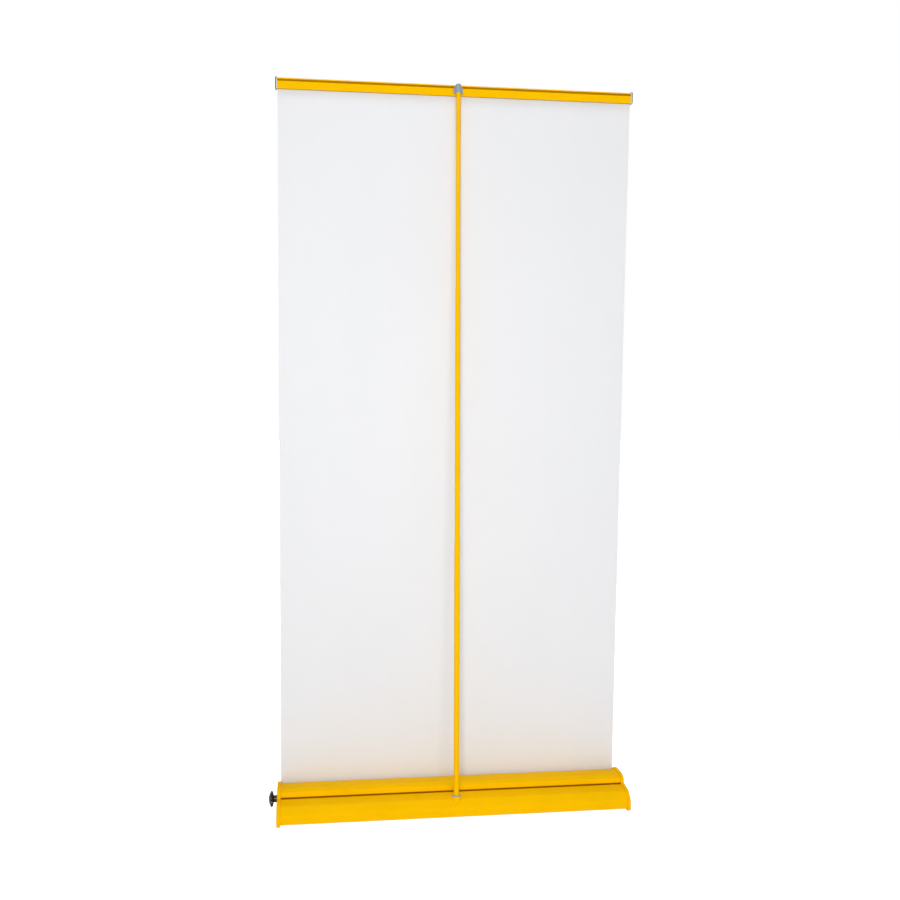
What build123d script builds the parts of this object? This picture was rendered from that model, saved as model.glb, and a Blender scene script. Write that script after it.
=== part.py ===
from build123d import *
import math
import os

# Roll-up welding curtain screen. A spring roller in a low cassette holds the sheet, a telescopic
# pole stands in a socket on the cassette, and a hook on the pole carries the sheet's top rail.
# Millimetres, +Z up, +X along the screen. The pole side faces -Y.
# The origin is the bottom centre of the whole part, on the surface that it stands on.

# Overall sizes
MID_X = 12.25               # the screen's mid-plane, off the origin because the knob sticks out at -X
BASE_HALF = 490.5           # mid-plane to the outer face of an end plate
RAIL_TOP = 2000.0
RAIL_FACE_Y = -58.0         # datum plane on the pole side of the top rail
SHEET_HALF = 482.5
SHEET_THICK = 0.45
SHEET_TOP = 1990.2          # the sheet's top edge, inside the rail

# End plates and shells of the cassette, as Y, Z corners with a radius each
PLATE_THICK = 10.0
PLATE_CORNERS = [
    (-97, 1), (-97, 33), (-71, 54), (-31, 58), (-27, 74),
    (-6, 80.5), (44, 79.5), (76, 64), (97, 32), (97, 1),
]
PLATE_RADII = [6, 14, 16, 2.5, 9, 24, 40, 16, 20, 6]
PLATE_ROUND = 3.0           # rounding of a plate's outer edge
PLATE_INNER_ROUND = 1.2
PLATE_PROUD = 5.0           # how far a plate stands out round the shells
RECESS_DEEP = 3.0           # the shells' ends sit this deep in the plates
RECESS_PLAY = 0.15
END_PLAY = 0.1              # gap at the end of a part that sits in a blind hole
SEAT_PLAY = 0.05            # gap round a part that sits in a hole
PRESS_PLAY = 0.02           # gap round a pressed part
SHELL_THICK = 2.0
SEAM_Z = 56.3               # underside of the upper shell at the front seam
SLOT_NEAR_Y = 56.0
SLOT_FAR_Y = 69.5
SLOT_LIP_LOW = 50.0         # lower edge of the slot's far lip
SLOT_NOTCH = (57.5, 70.0, 50.0, 90.0)   # room for the sheet in a plate's recess
BRUSH_CARRIER = (67.6, 69.5, 52.0, 59.0)
BRUSH_PILE = (67.8, 68.6, 59.0, 67.0)
BRUSH_SHORT = 0.5           # how far the brush stops before the recess floors
SLOT_LIP_R = 1.2
SLOT_LIP_DEEP = 7.0         # how far the near lip turns down
LEDGE_END_Y = -22.0         # the ledge ends in an upstand behind the seam
UPSTAND_R = 1.0
UPSTAND_LOW = 0.2           # the upstand ends this far under the seam
FLOOR_R = 3.0
FLANGE_END_Y = -16.0        # inner end of the upper shell's bottom flange
SEAM_R = 2.4
SLOT_BEND_R = 2.5
PORT_R = 4.2                # screw ports along the inside of the shells
PORT_INSET = 10.9           # a port's centre from the plate's outline
SCREW_R = 2.05
SCREW_HEAD_R = 4.6
SCREW_REACH = 16.0          # from the recess floor into a port
SCREW_HOLE_PLAY = 0.45
CONE_PLAY = 0.15
HEX_R = 1.6
HEX_DEEP = 2.0
PAD_YS = (-74.0, 74.0)
PAD_HALF = 13.0
PAD_TOP = 4.0
PAD_INSET = 1.5             # from a plate's faces to the pad's pocket
PAD_CHAMFER = 0.4
RIVET_X = (-27.0, 27.0)
RIVET_R = 2.0
RIVET_HEAD_R = 3.6
RIVET_HEAD = (1.6, 1.2)     # height and rounding of the inner head
RIVET_FOOT = (1.1, 0.8)     # height and rounding of the outer head
SLEEVE_PLAY = 0.3

# Roller, its spring and its brake
ROLLER = (30.0, 35.0)       # axis, as Y, Z
TUBE_R = 19.0
TUBE_WALL = 1.5
WRAP_R = 19.4               # outside of the sheet that stays on the roller
WRAP_PLAY = 0.3
TUBE_SHORT = 0.7            # how far the tube stops before the recess floors
PLUG_LONG = 30.0
PLUG_INSET = 2.8
PLUG_RIM = 2.5
PLUG_HUB = 3.0
PLUG_WEB = 2.5
PLUG_FLOOR = 4.0
SHAFT_R = 6.0
SHAFT_REACH = 33.0          # from the recess floor into the plug
THREAD_R = 4.0
THREAD_LONG = 16.0
THREAD_CHAMFER = 0.8
ARBOR_R = 5.0
ARBOR_SQUARE = 7.0
ARBOR_SQUARE_LONG = 5.0
ARBOR_LEAD = 25.0           # how far the arbor reaches past the spring
ARBOR_COLLAR = (10.0, 18.0)  # radius and length
SPRING_TURNS = 40
SPRING_WIRE_R = 1.5
SPRING_MEAN_R = 9.0
SPRING_PITCH = 2.95
SPRING_START = 330.0        # inner end of the spring, from the mid-plane
BOSS_R = 13.5               # raised boss round the bore of the left plate
BOSS_TALL = 2.0
BOSS_ROUND = 0.8
BUSH_R = 9.0
BUSH_FLANGE = (11.0, 1.5)   # radius and thickness
WASHER_THICK = 2.0
WASHER_R = 10.3
WASHER_PLAY = 0.2
KNOB_R = 22.0
KNOB_LOBES = 6
KNOB_TALL = 20.3
KNOB_SKIRT = (7.5, 14.0)    # where the head starts: from the neck's end, and radius
KNOB_BACK = (8.6, 19.0)     # a point on the head's hollow back
KNOB_RIM = 12.0             # the widest place, from the neck's end
KNOB_RIM_HALF = 2.0
KNOB_EDGE = 1.0             # how far the rim bulges
NECK_R = 9.5
NECK_LONG = 6.0
SCALLOP_R = 8.0
SCALLOP_OUT = 4.5           # a scallop's axis, outside the rim
INSERT_R = 6.0
INSERT_LONG = 14.0
FACE_PLAY = 0.1             # gap at each end face of the washer

# Guide rod beside the slot
GUIDE = (62.5, 61.5)
GUIDE_R = 4.0
GUIDE_SEAT = 4.0            # how deep the rod's ends sit in the plates
SHEET_U = 8.0               # far face of the sheet at the rail's mouth, from RAIL_FACE_Y
TAIL_RISE = 4.0             # the hanging sheet starts this far above the guide rod's tangent

# Telescopic pole: outer radius, wall, bottom and top of each tube
POLE_Y = -69.5
LOWER_TUBE = (7.4, 0.55, 14.0, 760.0)
MID_TUBE = (6.75, 0.55, 700.0, 1450.0)
UPPER_TUBE = (6.1, 0.5, 1390.0, 1976.0)
POLE_PLAY = 0.1
BUSH_LONG = 20.0
BUSH_CHAMFER = 1.0
SLIT = (0.6, 4.0)           # half width of a lock bush's slit, and how far it stops short
FOOT_PLUG = (2.0, 4.0)      # thickness under the tube, and height inside it
SOCKET_TOP = 59.5
FLANGE_R = 12.4             # flange of the pole socket
FLANGE_THICK = 2.0
COLLAR_R = 12.0             # raised seat under the flange, part of the lower shell
SLEEVE_R = 10.0
BRACKET_THICK = 2.0
BRACKET_HALF = 36.0
BRACKET_Y = (-81.0, -57.0)
BRACKET_CORNER = 4.0
CUP = (1.5, 16.0)           # wall and height of the bracket's cup

# Hook head on the pole, as X, Z corners of its shield with a radius each
STEM_R = 7.0
STEM_ROUND = (2.5, 0.8)     # rounding of its top and bottom edges
SPIGOT_LONG = 26.0
SHIELD = [(-13.4, 1976.4), (-13.4, 1989.5), (-6.8, 1999.6), (6.8, 1999.6), (13.4, 1989.5), (13.4, 1976.4)]
SHIELD_RADII = [2.0, 5.0, 2.5, 2.5, 5.0, 2.0]
SHIELD_THICK = 4.2
SHIELD_GAP = 0.3            # between the shield and the rail
SHIELD_CHAMFER = 0.8
BLADE_HALF = 9.0
BLADE_U = (0.2, 1.9)        # the blade's two faces, from RAIL_FACE_Y
BLADE_Z = (1994.6, 1998.4)
TONGUE_TOP = 1996.5         # the rail's lip rests here
HOOK_PIN_R = 1.5
HOOK_PIN_PLAY = 0.03
HOOK_PIN_DROP = 12.0        # under the top section's end

# Top rail, measured from RAIL_FACE_Y across and from the floor up
RAIL_HALF = 483.2
RAIL_BOTTOM = 1971.4
RAIL_FRONT = -1.5           # outer face of the front skin and of the lip
RAIL_MIDDLE = 2.5           # near face of the middle wall, behind the groove
RAIL_WALL = 1.5
GROOVE = (1991.2, 1996.6)   # the hook's groove, between the front skin and the lip
LIP_THICK = 1.3
RAIL_EDGE = 0.5             # rounding of the box's bottom edges
RAIL_TOP_EDGE = 1.1         # rounding of the lip's and the top web's outer edge
NEAR_JAW = (3.0, 7.2, 1973.4, 1976.4)
BEAD = (13.8, 1994.9)       # the clamp flap's hinge axis
BEAD_R = 1.8
BEAD_WEB = 0.9
KNUCKLE_PLAY = 0.2
KNUCKLE_WALL = 1.0
KNUCKLE_GAP = (3, 55, 107)  # directions of the knuckle's opening, degrees
FLAP_WALL = 1.2
FLAP_BOTTOM = 1973.0
FAR_JAW_U = 8.3
FAR_JAW_TOP = 1976.6
FAR_JAW_THICK = 1.4
FLAP_SHORT = 0.3            # how far the flap stops before the rail's end
CAP_THICK = 5.0
CAP_OUTLINE = (-2.6, 18.4, 1971.4, 2003.0)
CAP_CORNER = 4.0
CAP_ROUND = 1.4
CAP_TONGUES = [(4.05, 6.0, 1978.0, 1988.0), (4.2, 10.0, 1997.0, 1998.6)]
TONGUE_LONG = 14.0
HEM_ROD = (6.9, 2.8)        # from RAIL_FACE_Y, and above the sheet's top
HEM_ROD_R = 2.5
HEM_ROD_SHORT = 16.0        # how far it stops before the rail's end

FLOOR_Z = PLATE_CORNERS[0][1] + PLATE_PROUD + SHELL_THICK  # inner floor of the cassette


# Helpers

def unit(a, b):
    """Unit direction from point a to point b."""
    length = math.hypot(b[0] - a[0], b[1] - a[1])
    return ((b[0] - a[0]) / length, (b[1] - a[1]) / length)


def shift_path(points, distance, close=False):
    """Moves a path to the right of its direction of travel, mitred at its corners."""
    moved = []
    count = len(points)
    for i, point in enumerate(points):
        before = points[i - 1] if close or i > 0 else None
        after = points[(i + 1) % count] if close or i < count - 1 else None
        d1 = unit(before, point) if before else unit(point, after)
        d2 = unit(point, after) if after else d1
        n1 = (d1[1], -d1[0])
        n2 = (d2[1], -d2[0])
        mitre = distance / (1 + n1[0] * n2[0] + n1[1] * n2[1])
        moved.append((point[0] + mitre * (n1[0] + n2[0]), point[1] + mitre * (n1[1] + n2[1])))
    return moved


def shift_radii(points, radii, distance, close=False):
    """Corner radii of the path that shift_path makes."""
    count = len(points)
    corners = range(count) if close else range(1, count - 1)
    shifted = []
    for radius, i in zip(radii, corners):
        d1 = unit(points[i - 1], points[i])
        d2 = unit(points[i], points[(i + 1) % count])
        turns_left = d1[0] * d2[1] - d1[1] * d2[0] > 0
        shifted.append(max(0.0, radius + distance if turns_left else radius - distance))
    return shifted


def outline_face(points, radii):
    """Closed face from corners and their radii."""
    return make_face(FilletPolyline(*points, radius=radii, close=True))


def bent_line(points, radii):
    """Open path with rounded corners."""
    return FilletPolyline(*points, radius=radii) if radii else Line(*points)


def sheet_face(points, radii, thickness):
    """Face of a flat or bent sheet that lies to the right of a path."""
    inner = shift_path(points, thickness)
    one = bent_line(points, radii)
    other = bent_line(inner, shift_radii(points, radii, thickness))
    ends = [Line(points[0], inner[0]), Line(points[-1], inner[-1])]
    return make_face(one.edges() + other.edges() + ends)


def block_face(u0, u1, w0, w1):
    """Rectangle between two corners."""
    return Pos((u0 + u1) / 2, (w0 + w1) / 2) * Rectangle(u1 - u0, w1 - w0)


def along_x(face, x0, x1):
    """Extrudes a Y-Z face between two distances from the screen's mid-plane."""
    return extrude(Plane.YZ.offset(MID_X + x0) * face, amount=x1 - x0)


def rod_x(centre, radius, x0, x1):
    """Cylinder along X."""
    return along_x(Pos(*centre) * Circle(radius), x0, x1)


def ring_x(centre, outer, inner, x0, x1):
    """Tube along X."""
    return along_x(Pos(*centre) * (Circle(outer) - Circle(inner)), x0, x1)


def rod_z(radius, z0, z1, x=0.0, y=POLE_Y):
    """Upright cylinder, on the pole's axis unless told otherwise."""
    return Pos(MID_X + x, y, (z0 + z1) / 2) * Cylinder(radius, z1 - z0)


def box(x0, x1, y0, y1, z0, z1):
    """Box between two corners, X from the screen's mid-plane."""
    size = Box(x1 - x0, y1 - y0, z1 - z0)
    return Pos(MID_X + (x0 + x1) / 2, (y0 + y1) / 2, (z0 + z1) / 2) * size


def to_left(part):
    """Mirror image at the screen's other end."""
    return mirror(part, about=Plane.YZ.offset(MID_X))


# Cassette

SHELL_CORNERS = shift_path(PLATE_CORNERS, PLATE_PROUD, close=True)
SHELL_RADII = shift_radii(PLATE_CORNERS, PLATE_RADII, PLATE_PROUD, close=True)
SHELL_END = BASE_HALF - PLATE_THICK + RECESS_DEEP   # recess floor in the plates
SHELL_HALF = SHELL_END - END_PLAY


def on_line(i, y=None, z=None):
    """Point at the given Y or Z on the shell outline's line after corner i."""
    a = SHELL_CORNERS[i]
    b = SHELL_CORNERS[i + 1]
    share = (y - a[0]) / (b[0] - a[0]) if y is not None else (z - a[1]) / (b[1] - a[1])
    return (a[0] + share * (b[0] - a[0]), a[1] + share * (b[1] - a[1]))


def port_centres():
    """Screw ports: two under the lower shell's corners and two under the upper shell's top."""
    inner = shift_path(PLATE_CORNERS, PORT_INSET, close=True)
    hump = inner[4]
    back_a = inner[6]
    back_b = inner[7]
    back = (back_a[0] + 0.2 * (back_b[0] - back_a[0]), back_a[1] + 0.2 * (back_b[1] - back_a[1]))
    return {"lower": [inner[0], inner[9]], "upper": [hump, back]}


def with_ports(face, centres):
    """Adds screw ports to a shell's section."""
    for centre in centres:
        face = face + Pos(*centre) * Circle(PORT_R)
    for centre in centres:
        face = face - Pos(*centre) * Circle(SCREW_R + SEAT_PLAY)
    return face


def make_lower_shell():
    """Tray with the front ledge, whose far wall ends in the slot's far lip."""
    ledge_end = on_line(2, y=LEDGE_END_Y)
    points = [
        (SLOT_FAR_Y, SLOT_LIP_LOW), on_line(6, y=SLOT_FAR_Y), SHELL_CORNERS[8], SHELL_CORNERS[9],
        SHELL_CORNERS[0], SHELL_CORNERS[1], SHELL_CORNERS[2], ledge_end, (LEDGE_END_Y, SEAM_Z - UPSTAND_LOW),
    ]
    radii = [SLOT_LIP_R, SHELL_RADII[8], FLOOR_R, FLOOR_R, SHELL_RADII[1], SHELL_RADII[2], UPSTAND_R]
    face = with_ports(sheet_face(points, radii, SHELL_THICK), port_centres()["lower"])
    shell = along_x(face, -SHELL_HALF, SHELL_HALF) + make_collar()
    shell -= rod_z(SLEEVE_R + SLEEVE_PLAY, FLOOR_Z + 10, SOCKET_TOP)
    for x in RIVET_X:
        shell -= rod_z(RIVET_R + SEAT_PLAY, FLOOR_Z - SHELL_THICK - 1, FLOOR_Z + 1, x=x)
    return shell


def make_collar():
    """Raised round seat for the pole socket, welded on the shell's front corner."""
    depth = SHELL_THICK / 2
    inside = outline_face(
        shift_path(SHELL_CORNERS, depth, close=True),
        shift_radii(SHELL_CORNERS, SHELL_RADII, depth, close=True),
    )
    collar = rod_z(COLLAR_R, LOWER_TUBE[2], SOCKET_TOP - FLANGE_THICK)
    collar -= along_x(inside, -2 * COLLAR_R, 2 * COLLAR_R)
    return collar.solids().sort_by(Axis.Z)[-1]


def make_upper_shell():
    """Raised cover from the front seam to the slot's near lip."""
    lip = on_line(6, y=SLOT_NEAR_Y)
    points = [
        (FLANGE_END_Y, SEAM_Z), on_line(3, z=SEAM_Z), SHELL_CORNERS[4], SHELL_CORNERS[5],
        SHELL_CORNERS[6], lip, (lip[0], lip[1] - SLOT_LIP_DEEP),
    ]
    radii = [SEAM_R, SHELL_RADII[4], SHELL_RADII[5], SHELL_RADII[6], SLOT_BEND_R]
    face = with_ports(sheet_face(points, radii, SHELL_THICK), port_centres()["upper"])
    return along_x(face, -SHELL_HALF, SHELL_HALF)


def plate_blank():
    """Right end plate with rounded edges and the recess that takes the shells' ends."""
    inner_x = BASE_HALF - PLATE_THICK
    plate = along_x(outline_face(PLATE_CORNERS, PLATE_RADII), inner_x, BASE_HALF)
    outer_edges = plate.faces().sort_by(Axis.X)[-1].edges()
    plate = fillet(outer_edges, PLATE_ROUND)
    inner_edges = plate.faces().sort_by(Axis.X)[0].edges()
    plate = fillet(inner_edges, PLATE_INNER_ROUND)
    inset = PLATE_PROUD - RECESS_PLAY
    recess_points = shift_path(PLATE_CORNERS, inset, close=True)
    recess_radii = shift_radii(PLATE_CORNERS, PLATE_RADII, inset, close=True)
    plate -= along_x(outline_face(recess_points, recess_radii), inner_x - 1, SHELL_END)
    plate -= along_x(block_face(*SLOT_NOTCH), inner_x - 1, SHELL_END)
    for centre in all_ports():
        plate -= rod_x(centre, SCREW_R + SCREW_HOLE_PLAY, SHELL_END - 1, BASE_HALF + 1)
        plate -= screw_cone(centre, CONE_PLAY)
    for y in PAD_YS:
        plate -= box(inner_x + PAD_INSET, BASE_HALF - PAD_INSET, y - PAD_HALF, y + PAD_HALF, 0, PAD_TOP)
    plate -= rod_x(GUIDE, GUIDE_R + SEAT_PLAY, SHELL_END - 1, SHELL_END + GUIDE_SEAT)
    return plate


def all_ports():
    """Centres of the four screw ports at each end."""
    ports = port_centres()
    return ports["lower"] + ports["upper"]


def screw_cone(centre, play=0.0):
    """Countersunk head at the right end, flush with the plate."""
    deep = SCREW_HEAD_R - SCREW_R
    cone = Cone(SCREW_R + play, SCREW_HEAD_R + play, deep)
    place = Pos(MID_X + BASE_HALF - deep / 2, centre[0], centre[1]) * Rot(0, 90, 0)
    return place * cone


def end_screws():
    """Four countersunk screws with hexagon sockets at the right end."""
    screws = []
    for centre in all_ports():
        screw = screw_cone(centre) + rod_x(centre, SCREW_R, SHELL_END - SCREW_REACH, BASE_HALF - HEX_DEEP)
        hexagon = Pos(*centre) * RegularPolygon(HEX_R, 6, major_radius=False)
        screw -= along_x(hexagon, BASE_HALF - HEX_DEEP, BASE_HALF + 1)
        screws.append(screw)
    return screws


def make_left_plate():
    """Left end plate, with a boss and a bore for the roller's bush."""
    plate = to_left(plate_blank())
    boss = rod_x(ROLLER, BOSS_R, -BASE_HALF - BOSS_TALL, -BASE_HALF + 1)
    boss = fillet(boss.faces().sort_by(Axis.X)[0].edges(), BOSS_ROUND)
    plate += boss
    plate -= rod_x(ROLLER, BUSH_R + SEAT_PLAY, -BASE_HALF - BOSS_TALL - 1, -SHELL_END + 1)
    return plate


def make_right_plate():
    """Right end plate, with a square socket for the spring arbor."""
    plate = plate_blank()
    side = ARBOR_SQUARE + 2 * SEAT_PLAY
    socket = Pos(*ROLLER) * Rectangle(side, side)
    plate -= along_x(socket, SHELL_END - 1, SHELL_END + ARBOR_SQUARE_LONG)
    return plate


def foot_pads():
    """Two rubber pads let into the right end plate's underside."""
    pads = []
    half = PAD_HALF - SEAT_PLAY
    inset = PAD_INSET + SEAT_PLAY
    for y in PAD_YS:
        pad = box(BASE_HALF - PLATE_THICK + inset, BASE_HALF - inset, y - half, y + half, 0, PAD_TOP)
        pad = chamfer(pad.faces().sort_by(Axis.Z)[0].edges(), PAD_CHAMFER)
        pads.append(pad)
    return pads


def make_slot_brush():
    """Brush strip on the slot's far lip: a carrier with a thin pile above it."""
    half = SHELL_END - BRUSH_SHORT
    return along_x(block_face(*BRUSH_CARRIER) + block_face(*BRUSH_PILE), -half, half)


# Pole socket

def make_socket():
    """Flanged plastic sleeve in the cassette's collar."""
    flange = rod_z(FLANGE_R, SOCKET_TOP - FLANGE_THICK, SOCKET_TOP)
    flange = fillet(flange.faces().sort_by(Axis.Z)[-1].edges(), FLANGE_THICK / 2)
    sleeve = rod_z(SLEEVE_R, FLOOR_Z + BRACKET_THICK + SEAT_PLAY, SOCKET_TOP - FLANGE_THICK / 2)
    bore = rod_z(LOWER_TUBE[0] + POLE_PLAY, LOWER_TUBE[2] - FOOT_PLUG[0], SOCKET_TOP + 1)
    return sleeve + flange - bore


def make_bracket():
    """Cup on a foot, riveted to the floor, that steadies the sleeve's lower end."""
    wall, tall = CUP
    bore = SLEEVE_R + SEAT_PLAY
    base = FLOOR_Z + BRACKET_THICK
    foot = box(-BRACKET_HALF, BRACKET_HALF, *BRACKET_Y, FLOOR_Z, base)
    foot = fillet(foot.edges().filter_by(Axis.Z), BRACKET_CORNER)
    bracket = foot + rod_z(bore + wall, base, base + tall) - rod_z(bore, base, base + tall + 1)
    for x in RIVET_X:
        bracket -= rod_z(RIVET_R + SEAT_PLAY, FLOOR_Z - 1, base + 1, x=x)
    return bracket


def bracket_rivets():
    """Two domed rivets through the bracket's foot and the cassette's floor."""
    rivets = []
    low = FLOOR_Z - SHELL_THICK
    high = FLOOR_Z + BRACKET_THICK
    for x in RIVET_X:
        head = rod_z(RIVET_HEAD_R, high, high + RIVET_HEAD[0], x=x)
        head = fillet(head.faces().sort_by(Axis.Z)[-1].edges(), RIVET_HEAD[1])
        foot = rod_z(RIVET_HEAD_R, low - RIVET_FOOT[0], low, x=x)
        foot = fillet(foot.faces().sort_by(Axis.Z)[0].edges(), RIVET_FOOT[1])
        rivets.append(rod_z(RIVET_R, low, high, x=x) + head + foot)
    return rivets


# Roller

def make_shaft():
    """Stub shaft in the left plug: a journal in the bush, and a threaded end for the knob."""
    end = -BASE_HALF - BOSS_TALL
    journal = rod_x(ROLLER, SHAFT_R, end + END_PLAY, -SHELL_END + SHAFT_REACH)
    thread = rod_x(ROLLER, THREAD_R, end - THREAD_LONG, end + 1)
    thread = chamfer(thread.faces().sort_by(Axis.X)[0].edges(), THREAD_CHAMFER)
    return journal + thread


def make_bush():
    """Flanged bearing bush in the left end plate."""
    radius, thick = BUSH_FLANGE
    bore = SHAFT_R + SEAT_PLAY
    body = ring_x(ROLLER, BUSH_R, bore, -BASE_HALF - BOSS_TALL + END_PLAY, -SHELL_END + thick / 2)
    return body + ring_x(ROLLER, radius, bore, -SHELL_END, -SHELL_END + thick)


def make_plug(bore_r):
    """Right roller plug with a central bore; ribs round it grip the tube."""
    outer = TUBE_R - TUBE_WALL - PRESS_PLAY
    x1 = SHELL_END - TUBE_SHORT - PLUG_INSET
    plug = ring_x(ROLLER, outer, bore_r, x1 - PLUG_LONG, x1)
    hollow = ring_x(ROLLER, outer - PLUG_RIM, bore_r + PLUG_HUB, x1 - PLUG_LONG + PLUG_FLOOR, x1 + 1)
    web = along_x(Pos(*ROLLER) * Rectangle(PLUG_WEB, 2 * outer), x1 - PLUG_LONG, x1)
    web += along_x(Pos(*ROLLER) * Rectangle(2 * outer, PLUG_WEB), x1 - PLUG_LONG, x1)
    return plug - (hollow - web)


def make_arbor():
    """Fixed arbor inside the roller, with a square end in the right end plate."""
    rod = rod_x(ROLLER, ARBOR_R, SPRING_START - ARBOR_LEAD, SHELL_END - END_PLAY)
    square = Pos(*ROLLER) * Rectangle(ARBOR_SQUARE, ARBOR_SQUARE)
    return rod + along_x(square, SHELL_END - 1, SHELL_END + ARBOR_SQUARE_LONG - END_PLAY)


def make_arbor_collar():
    """Collar on the arbor that holds the spring's fixed end."""
    radius, long = ARBOR_COLLAR
    return ring_x(ROLLER, radius, ARBOR_R + PRESS_PLAY, SPRING_START - long, SPRING_START)


def make_spring():
    """Close-wound torsion spring, as touching rings of wire."""
    y, z = ROLLER
    half = math.sqrt(SPRING_WIRE_R**2 - (SPRING_PITCH / 2) ** 2)
    x = MID_X + SPRING_START
    edges = [Line((x, SPRING_MEAN_R - half), (x, SPRING_MEAN_R + half))]
    for i in range(SPRING_TURNS):
        a = x + i * SPRING_PITCH
        b = a + SPRING_PITCH
        for side in (1, -1):
            edge_r = SPRING_MEAN_R + side * half
            top_r = SPRING_MEAN_R + side * SPRING_WIRE_R
            edges.append(ThreePointArc((a, edge_r), ((a + b) / 2, top_r), (b, edge_r)))
    edges.append(Line((b, SPRING_MEAN_R - half), (b, SPRING_MEAN_R + half)))
    return Pos(0, y, z) * revolve(make_face(edges), axis=Axis.X)


# Brake knob

def make_knob():
    """Domed star knob on a round neck, bored for its insert; it stands out at the left end."""
    start = -(BASE_HALF + BOSS_TALL + WASHER_THICK + 2 * FACE_PLAY)
    edge_r = KNOB_R - KNOB_EDGE
    skirt = (start - KNOB_SKIRT[0], KNOB_SKIRT[1])
    back = (start - KNOB_BACK[0], KNOB_BACK[1])
    rim = start - KNOB_RIM
    dome = rim - KNOB_RIM_HALF
    tip = start - KNOB_TALL
    rise = dome - tip
    dome_r = (rise**2 + edge_r**2) / (2 * rise)
    half_x = tip + dome_r - math.sqrt(dome_r**2 - (edge_r / 2) ** 2)
    neck = Polyline((tip, 0), (start, 0), (start, NECK_R), (start - NECK_LONG, NECK_R), skirt)
    head = [
        ThreePointArc(skirt, back, (rim + KNOB_RIM_HALF, edge_r)),
        ThreePointArc((rim + KNOB_RIM_HALF, edge_r), (rim, KNOB_R), (dome, edge_r)),
        ThreePointArc((dome, edge_r), (half_x, edge_r / 2), (tip, 0)),
    ]
    knob = revolve(make_face(neck.edges() + head), axis=Axis.X)
    for i in range(KNOB_LOBES):
        scallop = Pos(rim, 0, KNOB_R + SCALLOP_OUT) * Rot(0, 90, 0) * Cylinder(SCALLOP_R, 2 * KNOB_RIM)
        knob -= Rot(360 * (i + 0.5) / KNOB_LOBES, 0, 0) * scallop
    deep = INSERT_LONG + 1
    knob -= Pos(start - deep / 2, 0, 0) * Rot(0, 90, 0) * Cylinder(INSERT_R, deep)
    return Pos(MID_X, *ROLLER) * knob


def make_insert():
    """Threaded metal insert of the knob."""
    start = BASE_HALF + BOSS_TALL + WASHER_THICK + 2 * FACE_PLAY
    return ring_x(ROLLER, INSERT_R - PRESS_PLAY, THREAD_R + SEAT_PLAY, -start - INSERT_LONG, -start)


def make_washer():
    """Brake washer between the knob and the end plate's boss."""
    start = BASE_HALF + BOSS_TALL + FACE_PLAY
    return ring_x(ROLLER, WASHER_R, THREAD_R + WASHER_PLAY, -start - WASHER_THICK, -start)


# Sheet

def sheet_geometry():
    """Where the sheet leaves the roller, turns over the guide rod, and how far it leans."""
    rod_r = GUIDE_R + SEAT_PLAY
    wrap_r = WRAP_R + WRAP_PLAY
    top = (RAIL_FACE_Y + SHEET_U - SHEET_THICK / 2, RAIL_BOTTOM)
    dy = GUIDE[0] - top[0]
    dz = top[1] - GUIDE[1]
    lean = math.atan2(dy, dz) + math.asin(rod_r / math.hypot(dy, dz))
    across = (GUIDE[0] - ROLLER[0], GUIDE[1] - ROLLER[1])
    span = math.hypot(*across)
    normal = math.atan2(across[1], across[0]) - math.acos((wrap_r - rod_r) / span)
    n1 = (math.cos(normal), math.sin(normal))
    n2 = (math.cos(lean), math.sin(lean))
    mitre = rod_r / (1 + n1[0] * n2[0] + n1[1] * n2[1])
    leaves = (ROLLER[0] + wrap_r * n1[0], ROLLER[1] + wrap_r * n1[1])
    corner = (GUIDE[0] + mitre * (n1[0] + n2[0]), GUIDE[1] + mitre * (n1[1] + n2[1]))
    rises = (
        GUIDE[0] + rod_r * n2[0] - TAIL_RISE * math.sin(lean),
        GUIDE[1] + rod_r * n2[1] + TAIL_RISE * math.cos(lean),
    )
    return leaves, corner, rises, lean


def make_sheet():
    """The hanging sheet, from the guide rod up to the hem inside the rail."""
    _, _, rises, lean = sheet_geometry()
    rise = (SHEET_TOP - rises[1]) / math.cos(lean)
    top = (rises[0] - rise * math.sin(lean), SHEET_TOP)
    face = sheet_face([rises, top], [], SHEET_THICK)
    return along_x(face, -SHEET_HALF, SHEET_HALF)


def make_sheet_tail():
    """The short run from the roller over the guide rod."""
    leaves, corner, rises, _ = sheet_geometry()
    face = sheet_face([leaves, corner, rises], [GUIDE_R + SEAT_PLAY], SHEET_THICK)
    return along_x(face, -SHEET_HALF, SHEET_HALF)


# Pole

def make_tube(sizes):
    """Round tube on the pole's axis."""
    radius, wall, low, high = sizes
    return rod_z(radius, low, high) - rod_z(radius - wall, low - 1, high + 1)


def make_lock_bush(outer, inner):
    """Split bush on the lower end of an inner tube, running in the tube around it."""
    bore = outer[0] - outer[1]
    half, short = SLIT
    head = rod_z(bore - SEAT_PLAY, inner[2] - BUSH_LONG, inner[2])
    head = chamfer(head.faces().sort_by(Axis.Z)[0].edges(), BUSH_CHAMFER)
    spigot = rod_z(inner[0] - inner[1] - SEAT_PLAY, inner[2], inner[2] + BUSH_LONG)
    slit = box(-half, half, POLE_Y, POLE_Y + bore, inner[2] - BUSH_LONG - 1, inner[2] - short)
    return head + spigot - slit


def make_foot_plug():
    """Plug under the lower tube."""
    radius, wall, low, _ = LOWER_TUBE
    under, inside = FOOT_PLUG
    return rod_z(radius, low - under, low) + rod_z(radius - wall - SEAT_PLAY, low, low + inside)


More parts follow.
